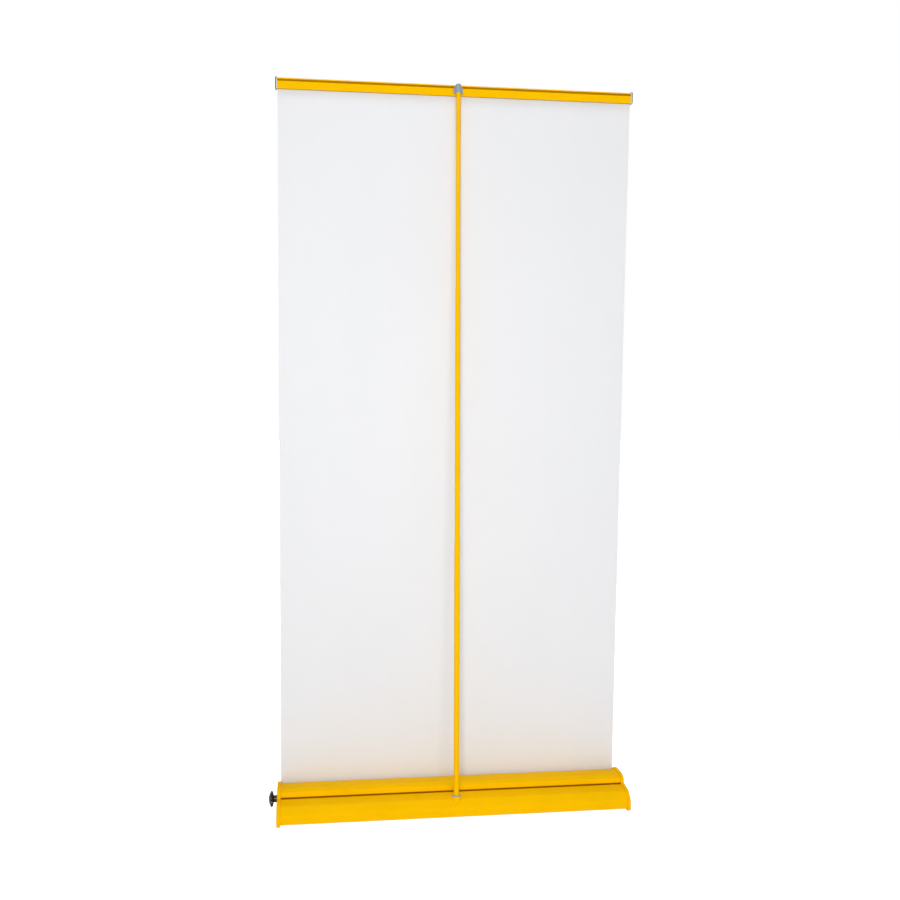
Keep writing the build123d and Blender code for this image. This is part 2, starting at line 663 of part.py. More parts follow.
def make_hook():
    """Cap on the pole with a shield before the rail and a blade up behind the rail's lip."""
    radius, wall, _, high = UPPER_TUBE
    stem = rod_z(STEM_R, high, RAIL_TOP)
    stem = fillet(stem.faces().sort_by(Axis.Z)[-1].edges(), STEM_ROUND[0])
    stem = fillet(stem.faces().sort_by(Axis.Z)[0].edges(), STEM_ROUND[1])
    spigot = rod_z(radius - wall - SEAT_PLAY, high - SPIGOT_LONG, high + 1)
    shield_y = RAIL_FACE_Y + RAIL_FRONT - SHIELD_GAP
    outline = Pos(MID_X, 0, 0) * Plane.XZ.offset(-shield_y) * outline_face(SHIELD, SHIELD_RADII)
    shield = extrude(outline, amount=SHIELD_THICK)
    shield = chamfer(shield.faces().sort_by(Axis.Y)[0].edges(), SHIELD_CHAMFER)
    low, top = BLADE_Z
    near = RAIL_FACE_Y + BLADE_U[0]
    far = RAIL_FACE_Y + BLADE_U[1]
    tongue = box(-BLADE_HALF, BLADE_HALF, shield_y - 1, far, low, TONGUE_TOP)
    blade = box(-BLADE_HALF, BLADE_HALF, near, far, low, top)
    return stem + spigot + shield + tongue + blade - hook_pin_hole()


def hook_pin_hole():
    """Cross hole for the pin."""
    centre = (POLE_Y, UPPER_TUBE[3] - HOOK_PIN_DROP)
    return rod_x(centre, HOOK_PIN_R + HOOK_PIN_PLAY, -STEM_R, STEM_R)


def make_hook_pin():
    """Pin through the top section and the hook's spigot."""
    radius = UPPER_TUBE[0]
    return rod_x((POLE_Y, UPPER_TUBE[3] - HOOK_PIN_DROP), HOOK_PIN_R, -radius, radius)


# Top rail

def rail_face(u0, u1, w0, w1):
    """Rectangle in the rail's section, U from the rail's datum plane."""
    return block_face(RAIL_FACE_Y + u0, RAIL_FACE_Y + u1, w0, w1)


def make_rail_body():
    """Closed box below the hook's groove, with the near jaw behind it."""
    back = RAIL_MIDDLE + RAIL_WALL
    low = GROOVE[0]
    face = rail_face(RAIL_FRONT, back, RAIL_BOTTOM, low)
    face -= rail_face(RAIL_FRONT + RAIL_WALL, RAIL_MIDDLE, RAIL_BOTTOM + RAIL_WALL, low - RAIL_WALL)
    face += rail_face(*NEAR_JAW)
    face = fillet(face.vertices().group_by(Axis.Y)[0], RAIL_EDGE)
    return along_x(face, -RAIL_HALF, RAIL_HALF)


def make_groove_wall():
    """Wall behind the hook's groove, from the box up to the top web."""
    face = rail_face(RAIL_MIDDLE, RAIL_MIDDLE + RAIL_WALL, GROOVE[0], RAIL_TOP - LIP_THICK)
    return along_x(face, -RAIL_HALF, RAIL_HALF)


def make_rail_top_web():
    """Top web of the rail, with the clamp flap's hinge bead under its far edge."""
    u, w = BEAD
    face = rail_face(RAIL_FRONT + LIP_THICK, flap_outer(), RAIL_TOP - LIP_THICK, RAIL_TOP)
    face = fillet(face.vertices().group_by(Axis.X)[-1].sort_by(Axis.Y)[-1:], RAIL_TOP_EDGE)
    face += rail_face(u - BEAD_WEB / 2, u + BEAD_WEB / 2, w, RAIL_TOP - LIP_THICK / 2)
    face += Pos(RAIL_FACE_Y + u, w) * Circle(BEAD_R)
    return along_x(face, -RAIL_HALF, RAIL_HALF)


def make_rail_lip():
    """Lip in front of the top web, that hangs over the hook's groove."""
    face = rail_face(RAIL_FRONT, RAIL_FRONT + LIP_THICK, GROOVE[1], RAIL_TOP)
    face = fillet(face.vertices().group_by(Axis.X)[0].sort_by(Axis.Y)[-1:], RAIL_TOP_EDGE)
    return along_x(face, -RAIL_HALF, RAIL_HALF)


def flap_outer():
    """Outer face of the clamp flap, from the rail's datum plane."""
    return BEAD[0] + BEAD_R + KNUCKLE_PLAY + KNUCKLE_WALL


def make_clamp_flap():
    """Far wall of the rail with its far jaw, on an open knuckle around the bead."""
    u, w = BEAD
    knuckle = Circle(BEAD_R + KNUCKLE_PLAY + KNUCKLE_WALL) - Circle(BEAD_R + KNUCKLE_PLAY)
    gap = [(0, 0)]
    reach = 4 * BEAD_R
    for angle in KNUCKLE_GAP:
        gap.append((reach * math.cos(math.radians(angle)), reach * math.sin(math.radians(angle))))
    knuckle = Pos(RAIL_FACE_Y + u, w) * (knuckle - make_face(Polyline(*gap, close=True)))
    outer = flap_outer()
    face = knuckle + rail_face(outer - FLAP_WALL, outer, FLAP_BOTTOM, w)
    face += rail_face(FAR_JAW_U, outer, FLAP_BOTTOM, FLAP_BOTTOM + FAR_JAW_THICK)
    face += rail_face(FAR_JAW_U, FAR_JAW_U + FLAP_WALL, FLAP_BOTTOM, FAR_JAW_TOP)
    return along_x(face, -RAIL_HALF + FLAP_SHORT, RAIL_HALF - FLAP_SHORT)


def make_rail_cap():
    """Right end cap of the rail, with two tongues that spring into it."""
    near, far, low, high = CAP_OUTLINE
    corners = [(near, low), (near, high), (far, high), (far, low)]
    face = outline_face([(RAIL_FACE_Y + u, w) for u, w in corners], [CAP_CORNER] * 4)
    cap = along_x(face, RAIL_HALF, RAIL_HALF + CAP_THICK)
    cap = fillet(cap.faces().sort_by(Axis.X)[-1].edges(), CAP_ROUND)
    for tongue in CAP_TONGUES:
        cap += along_x(rail_face(*tongue), RAIL_HALF - TONGUE_LONG, RAIL_HALF + 1)
    return cap


def make_hem_rod():
    """Rod in the sheet's top hem."""
    centre = (RAIL_FACE_Y + HEM_ROD[0], SHEET_TOP + HEM_ROD[1])
    return rod_x(centre, HEM_ROD_R, -RAIL_HALF + HEM_ROD_SHORT, RAIL_HALF - HEM_ROD_SHORT)


def build():
    """All nodes by name; a list is a group of separate solids."""
    screws = end_screws()
    pads = foot_pads()
    cap = make_rail_cap()
    tube_end = SHELL_END - TUBE_SHORT
    rod_end = SHELL_END + GUIDE_SEAT - END_PLAY
    return {
        "lower_shell": make_lower_shell(),
        "upper_shell": make_upper_shell(),
        "left_end_plate": make_left_plate(),
        "right_end_plate": make_right_plate(),
        "left_end_screws": [to_left(screw) for screw in screws],
        "right_end_screws": screws,
        "left_foot_pads": [to_left(pad) for pad in pads],
        "right_foot_pads": pads,
        "slot_brush": make_slot_brush(),
        "guide_rod": rod_x(GUIDE, GUIDE_R, -rod_end, rod_end),
        "pole_socket": make_socket(),
        "socket_bracket": make_bracket(),
        "bracket_rivets": bracket_rivets(),
        "roller_tube": ring_x(ROLLER, TUBE_R, TUBE_R - TUBE_WALL, -tube_end, tube_end),
        "left_roller_plug": to_left(make_plug(SHAFT_R + PRESS_PLAY)),
        "right_roller_plug": make_plug(ARBOR_R + SEAT_PLAY),
        "roller_shaft": make_shaft(),
        "bearing_bush": make_bush(),
        "spring_arbor": make_arbor(),
        "arbor_collar": make_arbor_collar(),
        "torsion_spring": make_spring(),
        "brake_washer": make_washer(),
        "brake_knob": make_knob(),
        "knob_insert": make_insert(),
        "sheet_wraps": ring_x(ROLLER, WRAP_R, TUBE_R + PRESS_PLAY, -SHEET_HALF, SHEET_HALF),
        "sheet_tail": make_sheet_tail(),
        "sheet": make_sheet(),
        "lower_tube": make_tube(LOWER_TUBE),
        "tube_foot_plug": make_foot_plug(),
        "mid_tube": make_tube(MID_TUBE),
        "mid_lock_bush": make_lock_bush(LOWER_TUBE, MID_TUBE),
        "upper_tube": make_tube(UPPER_TUBE) - hook_pin_hole(),
        "upper_lock_bush": make_lock_bush(MID_TUBE, UPPER_TUBE),
        "hook_head": make_hook(),
        "hook_pin": make_hook_pin(),
        "rail_body": make_rail_body(),
        "rail_groove_wall": make_groove_wall(),
        "rail_top_web": make_rail_top_web(),
        "rail_lip": make_rail_lip(),
        "rail_clamp_flap": make_clamp_flap(),
        "left_rail_cap": to_left(cap),
        "right_rail_cap": cap,
        "hem_rod": make_hem_rod(),
    }


os.makedirs("parts", exist_ok=True)
for name, shape in build().items():
    solids = shape if isinstance(shape, list) else shape.solids()
    export_step(Compound(children=list(solids)), f"parts/{name}.step")
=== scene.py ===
"""Looks of the roll-up welding screen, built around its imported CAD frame."""

import math
import random

import bmesh
import bpy
from mathutils import Matrix, Vector


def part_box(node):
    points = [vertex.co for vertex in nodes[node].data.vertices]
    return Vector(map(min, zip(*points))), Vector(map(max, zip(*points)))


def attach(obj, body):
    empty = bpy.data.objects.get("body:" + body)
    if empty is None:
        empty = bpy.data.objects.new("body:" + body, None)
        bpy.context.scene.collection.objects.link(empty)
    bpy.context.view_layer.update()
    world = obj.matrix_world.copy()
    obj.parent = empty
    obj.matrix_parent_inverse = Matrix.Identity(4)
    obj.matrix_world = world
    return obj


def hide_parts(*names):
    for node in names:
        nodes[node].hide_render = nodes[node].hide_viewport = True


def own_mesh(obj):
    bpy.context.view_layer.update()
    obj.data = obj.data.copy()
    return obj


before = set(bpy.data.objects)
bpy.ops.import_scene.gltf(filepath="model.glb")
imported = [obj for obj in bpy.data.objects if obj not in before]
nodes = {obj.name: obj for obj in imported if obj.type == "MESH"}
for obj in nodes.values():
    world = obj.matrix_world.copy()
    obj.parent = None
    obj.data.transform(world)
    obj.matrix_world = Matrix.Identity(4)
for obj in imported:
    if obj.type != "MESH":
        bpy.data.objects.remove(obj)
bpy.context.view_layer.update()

MM = 0.001

# Colours, linear
YELLOW = (0.97, 0.535, 0.0012)
# painted shade for the inside of the rail's hook groove
GROOVE_SHADE = (0.54, 0.26, 0.001)
# painted shade for the lower shell's front seam and just in front of its mouth
SEAM_SHADE = (0.36, 0.15, 0.0008)
COAT_GLINT = (1.0, 0.74, 0.08)
GREY = (0.31, 0.37, 0.44)
CAP_GREY = (0.66, 0.67, 0.68)
CAP_EDGE = (0.045, 0.042, 0.036)
BLACK = (0.012, 0.012, 0.014)
SHEET_WHITE = (0.83, 0.836, 0.856)
BRIGHT = (0.62, 0.63, 0.65)
BRASS = (0.62, 0.42, 0.13)
RUBBER = (0.02, 0.02, 0.021)
PILE = (0.03, 0.03, 0.033)
FLOOR_PALE = (0.85, 0.85, 0.85)

# Camera, in the row frame
CAMERA_AT = (-0.37805, -2.8679, 1.1114)
CAMERA_YAW = 7.53           # towards +X from +Y, degrees
CAMERA_PITCH = -2.0
CAMERA_ROLL = 0.16
CAMERA_LENS = 41.43
SENSOR = 36.0
CLIP_NEAR = 0.01
CLIP_FAR = 100

# Light
AMBIENT = 0.44              # strength of the world's light on the object
FLOOR_GLOW = 0.9            # how much of the floor's white comes from its own glow
FLOOR_GLOW_ON_PART = 0.05   # the same glow, as the part sees it
FLOOR_REACH = 40.0          # metres from the middle to each side
KEY = {"at": (-1.0, -4.3, 1.95), "aim": (0.0, 0.0, 0.9), "size": (0.5, 0.5), "power": 43}
FILL = {"at": (0.0, -2.5, 0.9), "aim": (0.0, 0.0, 0.75), "size": (1.2, 1.2), "power": 16.8}
TOP = {"at": (0.0, -1.1, 4.2), "aim": (0.0, -0.1, 0.0), "size": (1.6, 1.0), "power": 17}
BACK = {"at": (0.7, 3.6, 1.6), "aim": (0.0, 0.0, 0.9), "size": (1.2, 1.2), "power": 36}


# Camera and light

def make_camera():
    """Camera on the pole's side, a little left of the middle."""
    yaw = math.radians(CAMERA_YAW)
    pitch = math.radians(CAMERA_PITCH)
    roll = math.radians(CAMERA_ROLL)
    ahead = Vector((math.sin(yaw) * math.cos(pitch), math.cos(yaw) * math.cos(pitch), math.sin(pitch)))
    right = Vector((math.cos(yaw), -math.sin(yaw), 0))
    up = right.cross(ahead)
    side = math.cos(roll) * right + math.sin(roll) * up
    top = -math.sin(roll) * right + math.cos(roll) * up
    data = bpy.data.cameras.new("camera")
    data.sensor_width = SENSOR
    data.lens = CAMERA_LENS
    data.clip_start = CLIP_NEAR
    data.clip_end = CLIP_FAR
    camera = bpy.data.objects.new("camera", data)
    bpy.context.scene.collection.objects.link(camera)
    turn = Matrix((side, top, -ahead)).transposed()
    camera.matrix_world = Matrix.Translation(CAMERA_AT) @ turn.to_4x4()
    bpy.context.scene.camera = camera


def area_light(name, at, aim, size, power):
    """Soft box at one point, aimed at another."""
    data = bpy.data.lights.new(name, "AREA")
    data.shape = "RECTANGLE"
    data.size, data.size_y = size
    data.energy = power
    light = bpy.data.objects.new(name, data)
    bpy.context.scene.collection.objects.link(light)
    light.location = at
    light.rotation_mode = "QUATERNION"
    light.rotation_quaternion = (Vector(aim) - Vector(at)).to_track_quat("-Z", "Y")


def make_world():
    """White backdrop whose light on the object is a little weaker."""
    world = bpy.data.worlds.new("studio")
    world.use_nodes = True
    tree = world.node_tree
    lit = tree.nodes["Background"]
    lit.inputs["Color"].default_value = (1, 1, 1, 1)
    lit.inputs["Strength"].default_value = AMBIENT
    seen = add(tree, "ShaderNodeBackground", Color=(1, 1, 1, 1), Strength=1.0)
    path = add(tree, "ShaderNodeLightPath")
    mix = add(tree, "ShaderNodeMixShader")
    tree.links.new(path.outputs["Is Camera Ray"], mix.inputs[0])
    tree.links.new(lit.outputs[0], mix.inputs[1])
    tree.links.new(seen.outputs[0], mix.inputs[2])
    tree.links.new(mix.outputs[0], tree.nodes["World Output"].inputs["Surface"])
    bpy.context.scene.world = world


def make_floor():
    """Large pale floor that keeps only a faint shadow."""
    mesh = bpy.data.meshes.new("floor")
    corners = [(x * FLOOR_REACH, y * FLOOR_REACH, 0) for x, y in ((-1, -1), (1, -1), (1, 1), (-1, 1))]
    mesh.from_pydata(corners, [], [(0, 1, 2, 3)])
    floor = bpy.data.objects.new("floor", mesh)
    bpy.context.scene.collection.objects.link(floor)
    material, shader, tree = new_material("floor")
    shader.inputs["Base Color"].default_value = (*FLOOR_PALE, 1)
    shader.inputs["Roughness"].default_value = 0.95
    shader.inputs["Specular IOR Level"].default_value = 0.05
    shader.inputs["Emission Color"].default_value = (1, 1, 1, 1)
    path = add(tree, "ShaderNodeLightPath")
    glow = spread(tree, path.outputs["Is Camera Ray"], 0, 1, FLOOR_GLOW_ON_PART, FLOOR_GLOW)
    tree.links.new(glow, shader.inputs["Emission Strength"])
    mesh.materials.append(material)


def make_studio():
    """World, floor and four soft boxes."""
    bpy.context.scene.view_settings.view_transform = "Standard"
    make_world()
    make_floor()
    area_light("key", **KEY)
    area_light("fill", **FILL)
    area_light("top", **TOP)
    area_light("back", **BACK)


# Materials; noise scales are per metre

MIX_FACTOR, MIX_A, MIX_B, MIX_RESULT = 0, 6, 7, 2   # sockets of a mix node when it mixes colours
NOISE_SPAN = (0.3, 0.7)     # where nearly all values of a noise lie
SEAM_FADE = (3.4 * MM, 2.4 * MM)    # behind the seam's mouth, where the painted shade sets in
SEAM_AHEAD = 6 * MM         # how far in front of the mouth the painted shade goes on
SEAM_DEEP = 7 * MM          # and how far down
GROOVE_BEHIND = 1.55 * MM   # from the front skin's face back to the groove's painted shade
GROOVE_UNDER = 1.25 * MM    # from the rail's top down to it
CAP_EDGE_WIDE = 2.6 * MM
CAP_EDGE_FADE = 0.2 * MM
CLOUD_STRETCH = 0.35        # how much the sheet's clouds and slubs are drawn out upwards
SLUB_STRETCH = 0.02
THREADS = (("X", 650.0), ("Z", 420.0))  # the weave's directions and scales


def new_material(name):
    """Material with one Principled shader; returns the material, the shader and the tree."""
    material = bpy.data.materials.new(name)
    material.use_nodes = True
    tree = material.node_tree
    return material, tree.nodes["Principled BSDF"], tree


def add(tree, kind, **settings):
    """New node with its attributes and input values set."""
    node = tree.nodes.new(kind)
    for name, value in settings.items():
        if name in node.inputs:
            node.inputs[name].default_value = value
        else:
            setattr(node, name, value)
    return node


def math_node(tree, operation, a, b):
    """Result of a maths node; each operand is a number or a socket."""
    node = add(tree, "ShaderNodeMath", operation=operation)
    for socket, value in zip(node.inputs, (a, b)):
        if isinstance(value, (int, float)):
            socket.default_value = value
        else:
            tree.links.new(value, socket)
    return node.outputs["Value"]


def coordinates(tree, scale=(1, 1, 1)):
    """Object coordinates in metres, stretched by scale."""
    source = add(tree, "ShaderNodeTexCoord")
    mapping = add(tree, "ShaderNodeMapping", Scale=scale)
    tree.links.new(source.outputs["Object"], mapping.inputs["Vector"])
    return mapping.outputs["Vector"]


def axes(tree):
    """X, Y and Z of the object coordinates, in metres."""
    split = add(tree, "ShaderNodeSeparateXYZ")
    tree.links.new(coordinates(tree), split.inputs["Vector"])
    return split.outputs["X"], split.outputs["Y"], split.outputs["Z"]


def noise(tree, vector, scale, detail):
    """Noise texture's factor."""
    node = add(tree, "ShaderNodeTexNoise", Scale=scale, Detail=detail)
    tree.links.new(vector, node.inputs["Vector"])
    return node.outputs["Fac"]


def spread(tree, value, low, high, to_low, to_high):
    """Maps a value from one range to another."""
    node = add(tree, "ShaderNodeMapRange")
    node.inputs["From Min"].default_value = low
    node.inputs["From Max"].default_value = high
    node.inputs["To Min"].default_value = to_low
    node.inputs["To Max"].default_value = to_high
    tree.links.new(value, node.inputs["Value"])
    return node.outputs["Result"]


def graded(tree, value, low, high):
    """Maps the usual range of a noise to another range."""
    return spread(tree, value, *NOISE_SPAN, low, high)


def mixed(tree, factor, one, other):
    """Blend of two colours, each a triple or a socket, by a factor."""
    node = add(tree, "ShaderNodeMix", data_type="RGBA")
    tree.links.new(factor, node.inputs[MIX_FACTOR])
    for socket, value in ((node.inputs[MIX_A], one), (node.inputs[MIX_B], other)):
        if isinstance(value, tuple):
            socket.default_value = (*value, 1)
        else:
            tree.links.new(value, socket)
    return node.outputs[MIX_RESULT]


def bump(tree, shader, height, distance, strength):
    """Bump from a height on the shader's normal; distance in metres."""
    node = add(tree, "ShaderNodeBump", Strength=strength, Distance=distance)
    tree.links.new(height, node.inputs["Height"])
    tree.links.new(node.outputs["Normal"], shader.inputs["Normal"])


def shade(colour, factor):
    """Colour made lighter or darker."""
    return tuple(min(1.0, c * factor) for c in colour)


def tinted(tree, factor, colour, dark, light):
    """One colour, darker and lighter by a factor."""
    return mixed(tree, factor, shade(colour, dark), shade(colour, light))


def roughen(tree, shader, value, low, high):
    """Roughness that follows a noise."""
    tree.links.new(graded(tree, value, low, high), shader.inputs["Roughness"])


def coat_colour(tree):
    """Slightly uneven yellow."""
    cloud = noise(tree, coordinates(tree), scale=14, detail=3)
    return tinted(tree, graded(tree, cloud, 0, 1), YELLOW, dark=0.965, light=1.02)


def coat_finish(tree, shader):
    """Satin gloss with a fine orange peel."""
    grain = noise(tree, coordinates(tree), scale=900, detail=2)
    roughen(tree, shader, grain, low=0.36, high=0.48)
    peel = noise(tree, coordinates(tree), scale=650, detail=1.5)
    bump(tree, shader, peel, distance=0.00006, strength=0.5)
    shader.inputs["Specular IOR Level"].default_value = 0.012
    shader.inputs["Specular Tint"].default_value = (*COAT_GLINT, 1)


def coat_material(name):
    """Yellow powder coat."""
    material, shader, tree = new_material(name)
    tree.links.new(coat_colour(tree), shader.inputs["Base Color"])
    coat_finish(tree, shader)
    return material


def shell_material(name):
    """Yellow powder coat, with the shade in and just in front of the front seam painted dark brown."""
    mouth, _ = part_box("upper_shell")
    material, shader, tree = new_material(name)
    _, y, z = axes(tree)
    behind = spread(tree, y, mouth.y - SEAM_FADE[0], mouth.y - SEAM_FADE[1], 0, 1)
    before = math_node(tree, "LESS_THAN", y, mouth.y + SEAM_AHEAD)
    above = math_node(tree, "GREATER_THAN", z, mouth.z - SEAM_DEEP)
    painted_shade = math_node(tree, "MULTIPLY", math_node(tree, "MULTIPLY", behind, before), above)
    # painted shade: dark brown where shade falls in and under the front seam
    tree.links.new(mixed(tree, painted_shade, coat_colour(tree), SEAM_SHADE), shader.inputs["Base Color"])
    coat_finish(tree, shader)
    return material


def rail_material(name):
    """Yellow powder coat, with the shade inside the hook's groove painted dark brown."""
    low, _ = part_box("rail_body")
    _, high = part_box("rail_lip")
    material, shader, tree = new_material(name)
    _, y, z = axes(tree)
    behind = math_node(tree, "GREATER_THAN", y, low.y + GROOVE_BEHIND)
    under = math_node(tree, "LESS_THAN", z, high.z - GROOVE_UNDER)
    painted_shade = math_node(tree, "MULTIPLY", behind, under)
    # painted shade: dark brown where shade falls inside the hook's groove
    colour = mixed(tree, painted_shade, coat_colour(tree), GROOVE_SHADE)
    tree.links.new(colour, shader.inputs["Base Color"])
    coat_finish(tree, shader)
    return material


def plastic_material(name, colour, low, high, grain_scale=1600, depth=0.00004):
    """Moulded plastic with a fine grain."""
    material, shader, tree = new_material(name)
    vector = coordinates(tree)
    cloud = noise(tree, vector, scale=60, detail=3)
    tone = tinted(tree, graded(tree, cloud, 0, 1), colour, dark=0.93, light=1.06)
    tree.links.new(tone, shader.inputs["Base Color"])
    grain = noise(tree, vector, scale=grain_scale, detail=2)
    roughen(tree, shader, grain, low=low, high=high)
    bump(tree, shader, grain, distance=depth, strength=0.6)
    return material


def cap_material(name):
    """Pale grey cap with a dark outer edge, at both ends of the rail."""
    left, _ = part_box("left_rail_cap")
    _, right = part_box("right_rail_cap")
    material, shader, tree = new_material(name)
    x, _, _ = axes(tree)
    offset = math_node(tree, "SUBTRACT", x, (left.x + right.x) / 2)
    from_middle = math_node(tree, "ABSOLUTE", offset, 0.0)
    edge = (right.x - left.x) / 2 - CAP_EDGE_WIDE
    outer = spread(tree, from_middle, edge - CAP_EDGE_FADE, edge + CAP_EDGE_FADE, 0, 1)
    cloud = noise(tree, coordinates(tree), scale=90, detail=3)
    pale = tinted(tree, cloud, CAP_GREY, dark=0.92, light=1.06)
    tree.links.new(mixed(tree, outer, pale, CAP_EDGE), shader.inputs["Base Color"])
    grain = noise(tree, coordinates(tree), scale=1500, detail=2)
    roughen(tree, shader, grain, low=0.42, high=0.55)
    bump(tree, shader, grain, distance=0.00004, strength=0.6)
    return material


def metal_material(name, colour, stretch, low, high):
    """Bare metal with drawn or turned lines along one axis."""
    material, shader, tree = new_material(name)
    shader.inputs["Metallic"].default_value = 1.0
    lines = noise(tree, coordinates(tree, stretch), scale=900, detail=3)
    tone = tinted(tree, lines, colour, dark=0.88, light=1.08)
    tree.links.new(tone, shader.inputs["Base Color"])
    roughen(tree, shader, lines, low=low, high=high)
    bump(tree, shader, lines, distance=0.00002, strength=0.4)
    return material


def rubber_material(name, colour):
    """Matt rubber or pile with a speckle."""
    material, shader, tree = new_material(name)
    speck = noise(tree, coordinates(tree), scale=500, detail=4)
    tone = tinted(tree, speck, colour, dark=0.8, light=1.4)
    tree.links.new(tone, shader.inputs["Base Color"])
    roughen(tree, shader, speck, low=0.78, high=0.92)
    shader.inputs["Specular IOR Level"].default_value = 0.25
    bump(tree, shader, speck, distance=0.00005, strength=0.6)
    return material


def sheet_material(name):
    """Pale satin sheet: fine threads, faint slubs and cloudiness."""
    material, shader, tree = new_material(name)
    cloud = noise(tree, coordinates(tree, (1, 1, CLOUD_STRETCH)), scale=5, detail=2)
    slub = noise(tree, coordinates(tree, (1, 1, SLUB_STRETCH)), scale=420, detail=2)
    tone = math_node(tree, "ADD", graded(tree, cloud, 0, 0.6), graded(tree, slub, 0, 0.4))
    colour = tinted(tree, tone, SHEET_WHITE, dark=0.985, light=1.012)
    tree.links.new(colour, shader.inputs["Base Color"])
    threads = []
    vector = coordinates(tree)
    for direction, scale in THREADS:
        wave = add(tree, "ShaderNodeTexWave", bands_direction=direction, Scale=scale, Distortion=0.6)
        tree.links.new(vector, wave.inputs["Vector"])
        threads.append(wave.outputs["Fac"])
    weave = math_node(tree, "MULTIPLY", *threads)
    bump(tree, shader, weave, distance=0.00008, strength=0.35)
    roughen(tree, shader, slub, low=0.46, high=0.54)
    shader.inputs["Specular IOR Level"].default_value = 0.25
    shader.inputs["Sheen Weight"].default_value = 0.08
    shader.inputs["Sheen Roughness"].default_value = 0.4
    return material


def paint(names, material):
    """Gives CAD nodes one material."""
    for name in names:
        slots = nodes[name].data.materials
        slots.clear()
        slots.append(material)


def paint_frame():
    """Materials of the CAD nodes that stay."""
    grey = plastic_material("grey_plastic", GREY, low=0.38, high=0.5)
    black = plastic_material("black_plastic", BLACK, low=0.2, high=0.32, grain_scale=1100, depth=0.00005)
    steel = metal_material("bright_steel", BRIGHT, stretch=(1, 1, 1), low=0.25, high=0.4)
    turned = metal_material("turned_steel", BRIGHT, stretch=(0.02, 1, 1), low=0.2, high=0.35)
    alloy = metal_material("roller_alloy", shade(BRIGHT, 1.15), stretch=(0.02, 1, 1), low=0.3, high=0.45)
    brass = metal_material("insert_brass", BRASS, stretch=(1, 0.05, 0.05), low=0.25, high=0.4)
    rubber = rubber_material("foot_rubber", RUBBER)
    coated = ["left_end_plate", "right_end_plate", "upper_shell", "lower_tube", "mid_tube", "upper_tube"]
    paint(coated, coat_material("yellow_coat"))
    paint(["lower_shell"], shell_material("shell_coat_seam_shade"))
    rail = ["rail_body", "rail_groove_wall", "rail_top_web", "rail_lip", "rail_clamp_flap"]
    paint(rail, rail_material("rail_coat"))
    paint(["left_rail_cap", "right_rail_cap"], cap_material("cap_plastic"))
    paint(["pole_socket", "hook_head", "tube_foot_plug", "mid_lock_bush", "upper_lock_bush"], grey)
    paint(["left_roller_plug", "right_roller_plug"], grey)
    paint(["brake_knob", "bearing_bush", "brake_washer"], black)
    paint(["left_end_screws", "right_end_screws", "bracket_rivets", "socket_bracket"], steel)
    paint(["guide_rod", "roller_shaft", "spring_arbor", "arbor_collar", "hook_pin", "hem_rod"], turned)
    paint(["roller_tube"], alloy)
    paint(["knob_insert"], brass)
    paint(["left_foot_pads", "right_foot_pads"], rubber)
    return steel


# Pieces

SHARP_ANGLE = 40            # degrees; sharper edges are not smoothed over


def place(name, builder, material, body, node, smooth=True):
    """Mesh object from a bmesh, riding on a body in place of a CAD node."""
    bmesh.ops.recalc_face_normals(builder, faces=builder.faces)
    mesh = bpy.data.meshes.new(name)
    builder.to_mesh(mesh)
    builder.free()
    if smooth:
        mesh.shade_smooth()
        mesh.set_sharp_from_angle(angle=math.radians(SHARP_ANGLE))
    mesh.materials.append(material)
    piece = bpy.data.objects.new(name, mesh)
    bpy.context.scene.collection.objects.link(piece)
    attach(piece, body)
    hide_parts(node)
    return piece


def grid_faces(builder, rows):
    """Quads between rows of vertices."""
    for one, other in zip(rows, rows[1:]):
        for i in range(len(one) - 1):
            builder.faces.new((one[i], one[i + 1], other[i + 1], other[i]))


def closed_sheet(near, far):
    """Closed thin body between two matching grids of points."""
    builder = bmesh.new()
    sides = [[[builder.verts.new(p) for p in row] for row in grid] for grid in (near, far)]
    for rows in sides:
        grid_faces(builder, rows)
    rim = []
    for rows in sides:
        up_one_side = [row[-1] for row in rows[1:]]
        down_the_other = [row[0] for row in rows[-2:0:-1]]
        rim.append(rows[0] + up_one_side + rows[-1][-2::-1] + down_the_other)
    count = len(rim[0])
    for i in range(count):
        after = (i + 1) % count
        builder.faces.new((rim[0][i], rim[0][after], rim[1][after], rim[1][i]))
    return builder


# Sheet

SHEET_THICK = 0.45 * MM
COLUMNS = 96
ROWS = 150
RIPPLE = 0.8 * MM           # how far the taut sheet stands off its plane
WAVES = (                   # each one's share, rate across, phase, and climb up the sheet
    (0.5, 3.1, 0.7, 0.0),
    (0.3, 7.7, -1.2, 0.8),
    (0.2, 13.0, 2.0, 0.0),
)
EDGE_CURL = 1.5             # of the ripple, at the sheet's two free edges
EDGE_POWER = 14
HELD_POWER = 0.7            # how quickly the ripple grows away from foot and hem
JAW_HOLD = (16 * MM, 42 * MM)   # stretch below the hem where the sheet hangs upright
STRIP_COLUMNS = 24
GUIDE_GAP = 0.05 * MM       # clearances of the tail, at the guide rod and at the wrapped turn
WRAP_GAP = 0.3 * MM
TAIL_STEPS = 16             # round the guide rod
TAIL_GAP = 0.02 * MM        # between the tail's end and the curtain's foot
WRAP_STEPS = 72
WRAP_FROM = 4               # degrees
WRAP_SWEEP = 352
WRAP_CLEAR = 0.03 * MM      # between the roller tube and the wrapped turn
WRAP_CREEP = 0.02 * MM      # how much the turn's radius grows

sheet_low, sheet_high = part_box("sheet")
sheet_mid_x = (sheet_low.x + sheet_high.x) / 2
sheet_half = (sheet_high.x - sheet_low.x) / 2
sheet_tall = sheet_high.z - sheet_low.z
sheet_lean = math.atan((sheet_high.y - sheet_low.y - SHEET_THICK) / sheet_tall)


def ripple(u, v):
    """Stand-off of the taut sheet; u runs across from -1 to 1, v up from 0 to 1."""
    held = math.sin(math.pi * v) ** HELD_POWER
    waves = sum(share * math.sin(rate * u + phase + climb * v) for share, rate, phase, climb in WAVES)
    return RIPPLE * held * (waves + EDGE_CURL * abs(u) ** EDGE_POWER)


